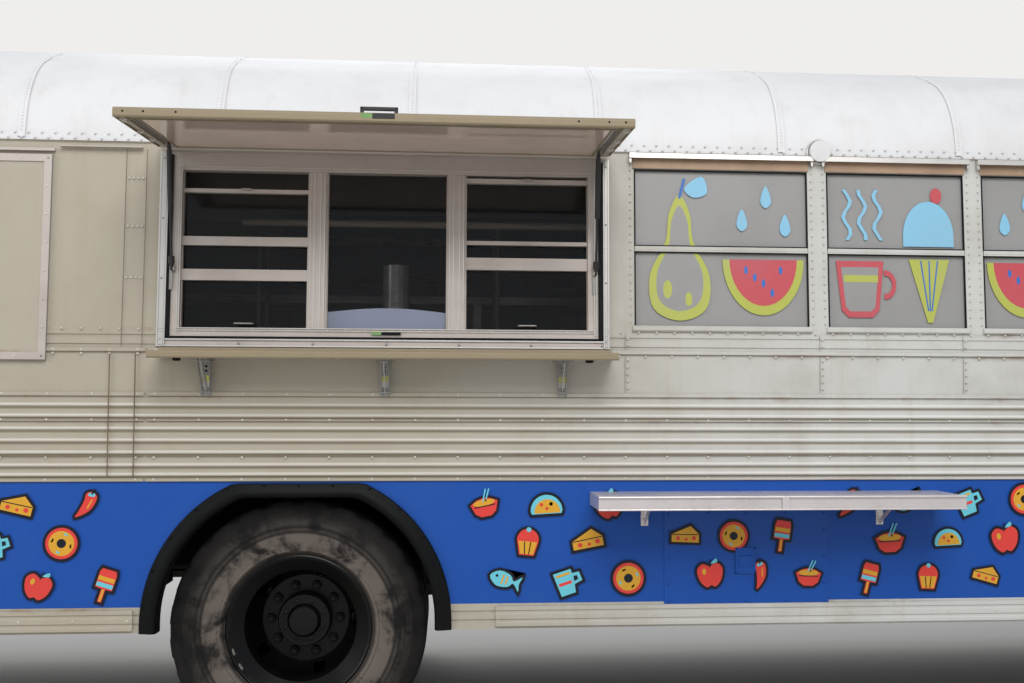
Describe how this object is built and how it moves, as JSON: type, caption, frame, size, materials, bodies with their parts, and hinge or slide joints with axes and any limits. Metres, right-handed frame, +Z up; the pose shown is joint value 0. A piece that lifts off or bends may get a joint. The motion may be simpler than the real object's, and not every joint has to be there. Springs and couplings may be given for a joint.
{
  "type": "food truck",
  "caption": "Food truck on a flat-front bus body with a service window under a lifted clear awning, two shelves, steering and twin rear wheels.",
  "frame": {"origin": "middle of the footprint on the ground, half-way along and across the whole object with the awning up", "axes": "+X forwards along the vehicle, +Y to its street side, +Z up; the service window faces -Y"},
  "size_m": [10.39, 3.4104, 3.07],
  "materials": {
    "body_paint": "painted",
    "roof_paint": "painted",
    "band_paint": "painted",
    "floor_plate": "painted",
    "chassis_paint": "painted",
    "spring_steel": "painted",
    "engine_casting": "plain",
    "tank_paint": "painted",
    "exhaust_steel": "plain",
    "arch_rubber": "plain",
    "pane_paint": "painted",
    "window_aluminium": "plain",
    "window_glass": "plain",
    "awning_sheet": "plain",
    "shelf_steel": "plain",
    "cab_glass": "plain",
    "dash_plastic": "plain",
    "seat_vinyl": "plain",
    "kitchen_steel": "plain",
    "bumper_paint": "painted",
    "lamp_lens": "plain",
    "mirror_shell": "plain",
    "strut_paint": "painted",
    "strut_chrome": "plain",
    "tyre_rubber": "plain",
    "wheel_paint": "painted"
  },
  "bodies": {
    "chassis": {"street_wall": "body_paint", "curb_wall": "body_paint", "roof": "roof_paint", "rear_wall": "body_paint", "front_cap": "body_paint", "floor": "floor_plate", "entry_steps": "floor_plate", "engine_cover": "floor_plate", "chassis_frame": "chassis_paint", "rear_axle": "chassis_paint", "front_axle": "chassis_paint", "leaf_springs": "spring_steel", "engine": "engine_casting", "drive_shaft": "chassis_paint", "fuel_tank": "tank_paint", "exhaust": "exhaust_steel", "wheel_flares": "arch_rubber", "side_panels": "pane_paint", "service_frame": "window_aluminium", "service_glass": "window_glass", "awning_fixings": "window_aluminium", "service_shelf": "shelf_steel", "lower_shelf": "shelf_steel", "cab_glass": "cab_glass", "dash": "dash_plastic", "driver_seat": "seat_vinyl", "kitchen_bench": "kitchen_steel", "kitchen_hood": "kitchen_steel", "bumpers": "bumper_paint", "lamps": "lamp_lens", "mirrors": "mirror_shell"},
    "rear_roll_curb": {"rear_wheels_curb": "wheel_paint", "rear_tyres_curb": "tyre_rubber"},
    "rear_roll_street": {"rear_wheels_street": "wheel_paint", "rear_tyres_street": "tyre_rubber"},
    "knuckle_curb": {"knuckle_curb": "chassis_paint"},
    "knuckle_street": {"knuckle_street": "chassis_paint"},
    "front_roll_curb": {"front_wheel_curb": "wheel_paint", "front_tyre_curb": "tyre_rubber"},
    "front_roll_street": {"front_wheel_street": "wheel_paint", "front_tyre_street": "tyre_rubber"},
    "awning": {"awning_frame": "window_aluminium", "awning_panes": "awning_sheet"},
    "strut_tube_rear": {"strut_tube_rear": "strut_paint"},
    "strut_tube_front": {"strut_tube_front": "strut_paint"},
    "strut_rod_rear": {"strut_rod_rear": "strut_chrome"},
    "strut_rod_front": {"strut_rod_front": "strut_chrome"},
    "locker_door": {"locker_door": "band_paint"},
    "entry_door": {"entry_door": "body_paint", "entry_glass": "cab_glass"},
    "rear_door": {"rear_door": "body_paint"}
  },
  "joints": [
    {"name": "rear_wheels_street_spin", "type": "hinge", "parent": "chassis", "child": "rear_roll_street", "pos_m": [-2.115, 1.1202, 0.515], "axis": [0, 1, 0], "continuous": true},
    {"name": "steer_street", "type": "hinge", "parent": "chassis", "child": "knuckle_street", "pos_m": [3.085, 1.1102, 0.515], "axis": [0, 0, 1], "range_deg": [-35, 35]},
    {"name": "front_wheel_street_spin", "type": "hinge", "parent": "knuckle_street", "child": "front_roll_street", "pos_m": [3.085, 1.2852, 0.515], "axis": [0, 1, 0], "continuous": true},
    {"name": "rear_wheels_curb_spin", "type": "hinge", "parent": "chassis", "child": "rear_roll_curb", "pos_m": [-2.115, -0.6278, 0.515], "axis": [0, 1, 0], "continuous": true},
    {"name": "steer_curb", "type": "hinge", "parent": "chassis", "child": "knuckle_curb", "pos_m": [3.085, -0.6178, 0.515], "axis": [0, 0, 1], "range_deg": [-35, 35]},
    {"name": "front_wheel_curb_spin", "type": "hinge", "parent": "knuckle_curb", "child": "front_roll_curb", "pos_m": [3.085, -0.7928, 0.515], "axis": [0, 1, 0], "continuous": true},
    {"name": "awning_hinge", "type": "hinge", "parent": "chassis", "child": "awning", "pos_m": [-1.7735, -0.95976, 2.449], "axis": [1, 0, 0], "range_deg": [0, 84.6]},
    {"name": "strut_rear_pivot", "type": "hinge", "parent": "chassis", "child": "strut_tube_rear", "pos_m": [-2.627, -0.98179, 1.96], "axis": [1, 0, 0], "range_deg": [-13.87, 1]},
    {"name": "strut_rear_slide", "type": "slide", "parent": "strut_tube_rear", "child": "strut_rod_rear", "axis": [0, -0.1786, 0.9839], "range_m": [-0.1132, 0.001]},
    {"name": "strut_front_pivot", "type": "hinge", "parent": "chassis", "child": "strut_tube_front", "pos_m": [-0.92, -0.98179, 1.96], "axis": [1, 0, 0], "range_deg": [-13.87, 1]},
    {"name": "strut_front_slide", "type": "slide", "parent": "strut_tube_front", "child": "strut_rod_front", "axis": [0, -0.1786, 0.9839], "range_m": [-0.1132, 0.001]},
    {"name": "locker_hinge", "type": "hinge", "parent": "chassis", "child": "locker_door", "pos_m": [-0.2895, -0.9801, 0.996], "axis": [-1, 0, 0], "range_deg": [0, 80]},
    {"name": "entry_door_hinge", "type": "hinge", "parent": "chassis", "child": "entry_door", "pos_m": [4.505, -0.9801, 1.3], "axis": [0, 0, 1], "range_deg": [0, 90]},
    {"name": "rear_door_hinge", "type": "hinge", "parent": "chassis", "child": "rear_door", "pos_m": [-5.0723, -0.1878, 1.7], "axis": [0, 0, 1], "range_deg": [0, 110]}
  ],
  "couplings": [
    {"joint": "steer_curb", "follows": "steer_street", "ratio": 1},
    {"joint": "strut_rear_pivot", "follows": "awning_hinge", "ratio": -0.15192},
    {"joint": "strut_front_pivot", "follows": "awning_hinge", "ratio": -0.15192},
    {"joint": "strut_rear_slide", "follows": "awning_hinge", "m_per_rad": -0.075902},
    {"joint": "strut_front_slide", "follows": "awning_hinge", "m_per_rad": -0.075902}
  ]
}
